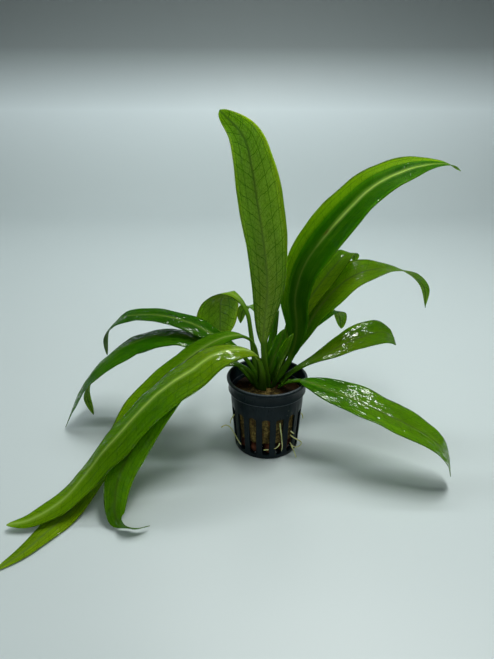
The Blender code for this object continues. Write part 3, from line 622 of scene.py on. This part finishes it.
def leaf_sections(leaf):
    """For each section along the leaf: centre, side and face directions, half width, blade share, run."""
    path = np.array(leaf.path, float) * (MM, MM, MM, math.radians(1))
    samples, run = smooth_points(path, LEAF_STEP)
    points, roll = samples[:, :3], samples[:, 3:]
    tangent = np.gradient(points, axis=0)
    tangent /= np.linalg.norm(tangent, axis=1)[:, None]
    heading = math.radians(leaf.heading)
    across = np.array([-math.sin(heading), math.cos(heading), 0])
    side = across - tangent * (tangent @ across)[:, None]
    side /= np.linalg.norm(side, axis=1)[:, None]
    face = np.cross(tangent, side)
    side, face = side * np.cos(roll) + face * np.sin(roll), face * np.cos(roll) - side * np.sin(roll)
    width, blade = half_width(leaf, run / run[-1])
    return points, side, face, width, blade, run


def skin_height(leaf, seed, c, width, blade, run):
    """How far the blade's middle sheet stands off its flat plane: fold, wavy edges and soft quilting."""
    lift = leaf.fold * width * abs(c) ** 1.3 * blade
    side_phase = 0.0 if c < 0 else 2.1
    slow = math.sin(run / SLOW_WAVE + side_phase + seed)
    quick = math.sin(run / QUICK_WAVE + 1.7 * side_phase + 2 * seed)
    wave = (0.65 * slow + 0.3 * quick) * MM * c * c * blade
    spot = Vector((c * width / (5 * MM) + 9.7 * seed, run / (8 * MM), seed))
    quilt = QUILT_HEIGHT * noise.noise(spot) * blade
    ladder = 0.05 * MM * math.cos(abs(c) * 13) * blade
    return lift + wave + quilt + ladder


def make_leaf(leaf, index, upper, under):
    """One leaf: a closed thin skin around the stalk and blade, grooved above and ribbed below."""
    spread = np.linspace(-1, 1, LEAF_COLUMNS)
    columns = np.sign(spread) * np.abs(spread) ** 1.35
    seed = 1.37 * index
    points, side, face, widths, blades, runs = leaf_sections(leaf)
    bm = bmesh.new()
    layers = [bm.verts.layers.float.new(name) for name in
              ("across", "along", "half_width", "share", "tone", "rib", "wet", "scar", "seed")]
    rings = []
    flatness = 0.0
    for k, (width, blade, run) in enumerate(zip(widths, blades, runs)):
        flatness = max(flatness, blade)
        thick = STALK_THICKNESS * (1 - flatness) + BLADE_THICKNESS * flatness
        thick = min(thick, 1.4 * width)
        share = run / runs[-1]
        remaining = 1 - share
        rib = (0.30 + 0.75 * remaining) * MM * min(1, 6 * remaining) * flatness
        base_flare = 1 + 0.75 * math.exp(-((run / FOOT_FLARE_LENGTH) ** 2)) * (1 - blade)
        top, bottom = [], []
        for c in columns:
            sheet = skin_height(leaf, seed, c, width, blade, run)
            rounding = math.sqrt(max(0.0, 1 - c * c))
            from_middle = c * width / RIB_REACH
            bulge = math.exp(-from_middle * from_middle)
            above = sheet + thick * rounding * (0.5 * flatness + 0.36 * (1 - flatness)) - 0.28 * rib * bulge
            below = sheet - thick * rounding * (0.5 * flatness + 0.60 * (1 - flatness)) - 0.8 * rib * bulge
            measures = (c, run / MM, width / MM, share, leaf_tone_and_painted_light(leaf, c, share), rib_tone(leaf, share),
                        leaf_wetness(leaf, c, share), leaf_scar(leaf, c, share), 3.1 * index)
            for ring, offset in ((top, above), (bottom, below)):
                if ring is bottom and abs(c) == 1:
                    continue
                place = points[k] + side[k] * width * c * base_flare + face[k] * offset
                place[2] = max(place[2], REST_HEIGHT + (0 if ring is bottom else 0.5 * (above - below)))
                vertex = bm.verts.new(place)
                for layer, measure in zip(layers, measures):
                    vertex[layer] = measure
                ring.append(vertex)
        rings.append((top, bottom))
    for (low, low_under), (high, high_under) in zip(rings[:-1], rings[1:]):
        low_under = [low[0], *low_under, low[-1]]
        high_under = [high[0], *high_under, high[-1]]
        for k in range(LEAF_COLUMNS - 1):
            bm.faces.new((high[k], high[k + 1], low[k + 1], low[k]))
            lower_face = bm.faces.new((low_under[k], low_under[k + 1], high_under[k + 1], high_under[k]))
            lower_face.material_index = 1
    for ring, at_start in ((rings[0], True), (rings[-1], False)):
        loop = [*ring[0], *reversed(ring[1])]
        bm.faces.new(loop if at_start else reversed(loop))
    name = leaf.name + "_skin"
    add_piece(name, finished_mesh(bm, name), (upper, under), leaf.name)


def leaf_tone_and_painted_light(leaf, across, share):
    """How deep or young the leaf's green is at a place, from -1 for deep green to 1 for young yellow-green,
    with painted light and shade on three leaves.
    """
    tone = float(np.interp(share, (0.12, 0.5, 0.92), leaf.tones))
    # leaf_right_high: its deep middle is a painted shadow of another leaf, and its lighter margins are
    # painted light.
    if leaf.name == "leaf_right_high":
        start = 0.35 if across > 0 else 0.80
        painted_light_margin = min(1.0, max(0.0, (abs(across) - start) / 0.20))
        tone += painted_light_margin * min(1.0, 3 * share)
    # leaf_front_left_under: lighter toward its far edge, painted light shining through the blade.
    if leaf.name == "leaf_front_left_under":
        tone += 0.25 * max(0.0, across) * min(1.0, max(0.0, 4 * share - 1))
    # leaf_tall: a lighter tip, painted light shining through it, and darker toward its edges.
    if leaf.name == "leaf_tall":
        tone += 0.6 * max(0.0, (share - 0.88) / 0.12)
        tone -= 0.8 * max(0.0, (abs(across) - 0.72) / 0.28)
    return min(1.0, tone)


def rib_tone(leaf, share):
    """How pale the midrib is at a place: it fades toward the leaf's tip."""
    if leaf.name == "leaf_right_high":
        return float(np.interp(share, (0.46, 0.60, 0.82, 0.92), (0.08, 0.70, 0.70, 0.25)))
    return leaf.rib * float(np.interp(share, (0.35, 0.7), (1.0, 0.5)))


def leaf_wetness(leaf, across, share):
    """How wet the leaf is at a place: 1 is nearly covered by water and -0.5 is dry."""
    if leaf.name == "leaf_right_high":
        return 0.9 if across < -0.5 and 0.48 < share < 0.70 else -0.5
    if leaf.name == "leaf_back_right":
        return float(np.interp(share, (0.35, 0.5), (1.0, 0.1)))
    if leaf.name == "leaf_front_left":
        return float(np.interp(share, (0.12, 0.22, 0.42, 0.55), (0.2, 1.0, 1.0, 0.25)))
    return leaf.wet


def leaf_scar(leaf, across, share):
    """The small brown bruise beside the midrib of the high leaf on the right."""
    if leaf.name != "leaf_right_high":
        return 0.0
    off = math.hypot((across - 0.06) / 0.05, (share - 0.52) / 0.016)
    return max(0.0, 0.8 - 0.8 * off * off)


def ring_point(radius, angle, height):
    """The place at a radius, an angle around the pot's axis and a height."""
    return radius * math.cos(angle), radius * math.sin(angle), height


def pot_profile():
    """The pot's wall as radius and height, from the foot up its outside, over the lip and down its inside.

    With it come its first outer and first inner row with slots, and how many such rows there are.
    """
    top, collar = POT_HEIGHT, COLLAR_RADIUS
    step = top - COLLAR_HEIGHT

    def outer(height):
        return FOOT_RADIUS + (BAND_RADIUS - FOOT_RADIUS) * (height / step)

    slot_rows = [SLOT_BOTTOM + (SLOT_TOP - SLOT_BOTTOM) * share for share in (0, 0.2, 0.4, 0.6, 0.8, 1)]
    foot = [(FOOT_RADIUS - 0.9 * MM, 0), (FOOT_RADIUS - 0.3 * MM, 0.15 * MM), (FOOT_RADIUS, 0.8 * MM)]
    wall = [(outer(height), height) for height in slot_rows]
    lip = [(outer(35 * MM), 35 * MM), (BAND_RADIUS - 0.05 * MM, step - 0.6 * MM), (BAND_RADIUS, step),
           (collar - 0.1 * MM, step + 0.05 * MM), (collar + 0.15 * MM, step + 0.3 * MM),
           (collar + 0.1 * MM, step + 0.6 * MM), (collar - 0.08 * MM, step + 0.9 * MM),
           (collar + 0.2 * MM, top - 2.3 * MM), (collar + 0.45 * MM, top - 2.05 * MM),
           (RIM_RADIUS - 0.1 * MM, top - 1.8 * MM), (RIM_RADIUS, top - 1.4 * MM),
           (RIM_RADIUS, top - 0.6 * MM), (RIM_RADIUS - 0.2 * MM, top - 0.15 * MM),
           (RIM_RADIUS - 0.6 * MM, top), (collar - 0.35 * MM, top), (collar - 0.7 * MM, top - 0.4 * MM),
           (collar - WALL, step + 0.9 * MM), (BAND_RADIUS - WALL, step - 0.4 * MM),
           (outer(35 * MM) - WALL, 35 * MM)]
    inside = [(outer(height) - WALL, height) for height in reversed(slot_rows)]
    bottom = (outer(WALL) - WALL, WALL)
    first_inner = len(foot + wall + lip)
    return [*foot, *wall, *lip, *inside, bottom], len(foot), first_inner, len(slot_rows)


def make_pot(finish):
    """The slotted pot with rounded edges: wall and ribs as one net, and a floor cut by drainage slots."""
    profile, first_outer, first_inner, row_count = pot_profile()
    # Columns cross each slot at shares of half its width, and the rib after it at shares of its width
    across = (-1.0, -0.82, -0.4, 0.0, 0.4, 0.82, 1.0)
    rib = (0.12, 0.5, 0.88)
    slot_cells = len(across) - 1
    per_slot = len(across) + len(rib)
    top_row = first_outer + row_count - 1
    pitch = 2 * math.pi / SLOT_COUNT

    def facing(row):
        """The row at the same height on the wall's other side."""
        return first_inner + top_row - row

    bm = bmesh.new()
    grid = []
    for row, (radius, height) in enumerate(profile):
        share = min(1.0, max(0.0, (height - SLOT_BOTTOM) / (SLOT_TOP - SLOT_BOTTOM)))
        width = SLOT_WIDTH_BOTTOM + (SLOT_WIDTH_TOP - SLOT_WIDTH_BOTTOM) * share
        half = width / 2 / (FOOT_RADIUS + (BAND_RADIUS - FOOT_RADIUS) * share * 0.8)
        ring = []
        for slot in range(SLOT_COUNT):
            middle = math.radians(SLOT_PHASE) + pitch * slot
            uneven = SLOT_UNEVENNESS * math.sin(2.4 * slot)
            for x in across:
                z = height
                if row in (top_row, facing(top_row)):
                    z -= SLOT_CORNER_TOP * abs(x) ** 3 + uneven * (1 - x * x)
                if row in (first_outer, facing(first_outer)):
                    z += SLOT_CORNER_BOTTOM * abs(x) ** 3
                ring.append(bm.verts.new(ring_point(radius, middle + half * x, z)))
            for x in rib:
                angle = middle + half + (pitch - 2 * half) * x
                ring.append(bm.verts.new(ring_point(radius, angle, height)))
        grid.append(ring)
    columns = len(grid[0])

    def open_cell(row, column):
        outer_cell = first_outer <= row < top_row
        inner_cell = first_inner <= row < facing(first_outer)
        return column % per_slot < slot_cells and (outer_cell or inner_cell)

    for row, (ring, ring_after) in enumerate(zip(grid[:-1], grid[1:])):
        for column in range(columns):
            if open_cell(row, column):
                continue
            after = (column + 1) % columns
            bm.faces.new((ring[column], ring[after], ring_after[after], ring_after[column]))
    for slot in range(SLOT_COUNT):
        left = slot * per_slot
        right = left + slot_cells
        for row in range(first_outer, top_row):
            low, low_in = grid[row], grid[facing(row)]
            high, high_in = grid[row + 1], grid[facing(row + 1)]
            bm.faces.new((low[left], high[left], high_in[left], low_in[left]))
            bm.faces.new((high[right], low[right], low_in[right], high_in[right]))
        low, low_in = grid[first_outer], grid[facing(first_outer)]
        high, high_in = grid[top_row], grid[facing(top_row)]
        for column in range(left, right):
            after = column + 1
            bm.faces.new((low[after], low[column], low_in[column], low_in[after]))
            bm.faces.new((high[column], high[after], high_in[after], high_in[column]))
    bmesh.ops.recalc_face_normals(bm, faces=bm.faces)
    sharp = math.radians(50)
    edges = [edge for edge in bm.edges if len(edge.link_faces) == 2 and edge.calc_face_angle() > sharp]
    bmesh.ops.bevel(bm, geom=edges, offset=EDGE_ROUNDING, offset_type="OFFSET", segments=2, profile=0.5,
                    affect="EDGES", clamp_overlap=True)
    add_pot_floor(bm)
    mesh = finished_mesh(bm, "pot_detail")
    mesh.set_sharp_from_angle(angle=sharp)
    add_piece("pot_detail", mesh, (finish,), "pot")


def add_pot_floor(bm):
    """The pot's floor: a ring, a middle disc and the bars between the eight drainage slots."""
    radii = (0.1 * MM, 4 * MM, 7 * MM, 10 * MM, 13 * MM, 16.5 * MM, FOOT_RADIUS - 0.9 * MM)
    slot_start, slot_end = 2, 5
    per_slot, slot_cells = 4, 2
    pitch = 2 * math.pi / FLOOR_SLOT_COUNT
    top, bottom = [], []
    for height, rows in ((WALL, top), (0.0, bottom)):
        for radius in radii:
            half = min(0.35 * pitch, 1.5 * MM / max(radius, 7 * MM))
            ring = []
            for slot in range(FLOOR_SLOT_COUNT):
                middle = math.radians(SLOT_PHASE) + pitch * (slot + 0.5)
                for angle in (middle - half, middle, middle + half, middle + pitch / 2):
                    ring.append(bm.verts.new(ring_point(radius, angle, height)))
            rows.append(ring)
    columns = len(top[0])
    for row in range(len(radii) - 1):
        above, above_out = top[row], top[row + 1]
        below, below_out = bottom[row], bottom[row + 1]
        for column in range(columns):
            if slot_start <= row < slot_end and column % per_slot < slot_cells:
                continue
            after = (column + 1) % columns
            bm.faces.new((above[column], above_out[column], above_out[after], above[after]))
            bm.faces.new((below[column], below[after], below_out[after], below_out[column]))
    inner, inner_low = top[slot_start], bottom[slot_start]
    outer, outer_low = top[slot_end], bottom[slot_end]
    for slot in range(FLOOR_SLOT_COUNT):
        left = slot * per_slot
        right = left + slot_cells
        for row in range(slot_start, slot_end):
            bm.faces.new((top[row][left], bottom[row][left], bottom[row + 1][left], top[row + 1][left]))
            bm.faces.new((top[row + 1][right], bottom[row + 1][right], bottom[row][right], top[row][right]))
        for column in range(left, right):
            after = column + 1
            bm.faces.new((inner[column], inner[after], inner_low[after], inner_low[column]))
            bm.faces.new((outer[after], outer[column], outer_low[column], outer_low[after]))
    bm.faces.new(list(reversed(top[0])))
    bm.faces.new(bottom[0])


def rough_copy(node, finish, smooth_levels, rough):
    """A finer copy of a CAD node with a rough skin: rough gives how far a point moves outward."""
    bm = bmesh.new()
    bm.from_mesh(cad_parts[node].data)
    bmesh.ops.remove_doubles(bm, verts=bm.verts, dist=0.00001)
    for _ in range(smooth_levels):
        bmesh.ops.subdivide_edges(bm, edges=bm.edges, cuts=1, use_grid_fill=True)
    bmesh.ops.recalc_face_normals(bm, faces=bm.faces)
    bm.normal_update()
    moves = [(vertex, vertex.normal.copy() * rough(vertex.co)) for vertex in bm.verts]
    for vertex, move in moves:
        vertex.co += move
    name = node + "_detail"
    add_piece(name, finished_mesh(bm, name), (finish,), node)


def make_wool_top(finish):
    """The plug's matted top: uneven wool that closes around the feet of the stalks and hides the crown."""
    ring_count, columns = 34, 108
    edge = 20.6 * MM
    mound_radius = CROWN_RADIUS + 3.2 * MM
    flat_radius = 15 * MM
    bm = bmesh.new()

    def height(radius, angle):
        spot = Vector(ring_point(radius, angle, 0)) * 210
        tufts = 0.55 * noise.noise(spot) + 0.35 * noise.noise(spot * 2.3) + 0.2 * noise.noise(spot * 5.3)
        mound = 1.75 * MM * max(0.0, 1 - (radius / mound_radius) ** 4)
        drop = 2.2 * MM * max(0.0, (radius - flat_radius) / (edge - flat_radius)) ** 2
        return MEDIUM_TOP + 0.35 * MM + mound - drop + tufts * 0.8 * MM

    middle = bm.verts.new((0, 0, height(0, 0)))
    angles = [2 * math.pi * k / columns for k in range(columns)]
    rows = []
    for ring in range(1, ring_count + 1):
        radius = edge * ring / ring_count
        rows.append([bm.verts.new(ring_point(radius, angle, height(radius, angle))) for angle in angles])
    under = [bm.verts.new(ring_point(0.97 * edge, angle, MEDIUM_TOP - 3 * MM)) for angle in angles]
    rows.append(under)
    for k in range(columns):
        after = (k + 1) % columns
        bm.faces.new((middle, rows[0][k], rows[0][after]))
        for low, high in zip(rows[:-1], rows[1:]):
            bm.faces.new((low[k], high[k], high[after], low[after]))
    bm.faces.new(list(reversed(under)))
    mesh = finished_mesh(bm, "growing_medium_top")
    add_piece("growing_medium_top", mesh, (finish,), "growing_medium")


def wool_roughness(place):
    """Lumps and loose tufts of the mineral wool."""
    spot = place * 190
    lumps = noise.noise(spot) * 0.45 + noise.noise(spot * 2.7) * 0.25 + noise.noise(spot * 6.1) * 0.12
    return (lumps - 0.15) * MM


def crown_roughness(place):
    """Fine lumps on the crown."""
    return 0.3 * MM * noise.noise(place * 700)


def make_pellet(node, index, finish):
    """One baked clay ball: a pitted, slightly uneven ellipsoid in its CAD node's place."""
    low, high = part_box(node)
    middle = (Vector(low) + Vector(high)) / 2
    size = (Vector(high) - Vector(low)) / 2
    bm = bmesh.new()
    bmesh.ops.create_icosphere(bm, subdivisions=4, radius=1)
    for vertex in bm.verts:
        spot = vertex.co * 1.3 + Vector((7.3 * index, 0, 0))
        swell = 1 + 0.05 * noise.noise(spot) + 0.04 * noise.noise(spot * 3.1) + 0.025 * noise.noise(spot * 8)
        vertex.co = middle + Vector([vertex.co[k] * size[k] * swell for k in range(3)])
    name = node + "_detail"
    add_piece(name, finished_mesh(bm, name), (finish,), node)


def make_root(node, path, finish):
    """One root: a round tube that swells and thins along its path and ends in a rounded tip."""
    samples, run = smooth_points(np.array(path) * MM, 0.5 * MM)
    tangent = np.gradient(samples, axis=0)
    tangent /= np.linalg.norm(tangent, axis=1)[:, None]
    sides = 10
    bm = bmesh.new()
    rings = []
    first = Vector(tangent[0]).orthogonal().normalized()
    for k, centre in enumerate(samples):
        along = Vector(tangent[k])
        first = (first - along * first.dot(along)).normalized()
        second = along.cross(first)
        ends = min(run[k], run[-1] - run[k]) / ROOT_RADIUS
        cap = math.sqrt(max(0.02, 1 - max(0.0, 1 - ends) ** 2))
        swell = 1 + 0.16 * noise.noise(Vector((run[k] * 900, len(node), 0)))
        radius = ROOT_RADIUS * cap * swell * (0.9 - 0.3 * run[k] / run[-1])
        ring = []
        for side in range(sides):
            angle = 2 * math.pi * side / sides
            offset = first * math.cos(angle) + second * math.sin(angle)
            ring.append(bm.verts.new(Vector(centre) + offset * radius))
        rings.append(ring)
    for low, high in zip(rings[:-1], rings[1:]):
        for side in range(sides):
            after = (side + 1) % sides
            bm.faces.new((low[side], low[after], high[after], high[side]))
    bm.faces.new(list(reversed(rings[0])))
    bm.faces.new(rings[-1])
    name = node + "_detail"
    add_piece(name, finished_mesh(bm, name), (finish,), node)


def main():
    """The stage, then every visible piece with its material."""
    make_camera()
    make_lights()
    make_floor()
    upper = leaf_finish("leaf_upper_face", under=False)
    under = leaf_finish("leaf_under_face", under=True)
    for index, leaf in enumerate(LEAVES):
        make_leaf(leaf, index, upper, under)
    make_pot(pot_finish())
    wool = medium_finish()
    rough_copy("growing_medium", wool, 3, wool_roughness)
    make_wool_top(wool)
    rough_copy("crown", crown_finish(), 2, crown_roughness)
    clay = pellet_finish()
    pellets = sorted(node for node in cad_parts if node.startswith("clay_pellet"))
    for index, node in enumerate(pellets):
        make_pellet(node, index, clay)
    pale = root_finish()
    for node, path in ROOTS.items():
        make_root(node, path, pale)


main()
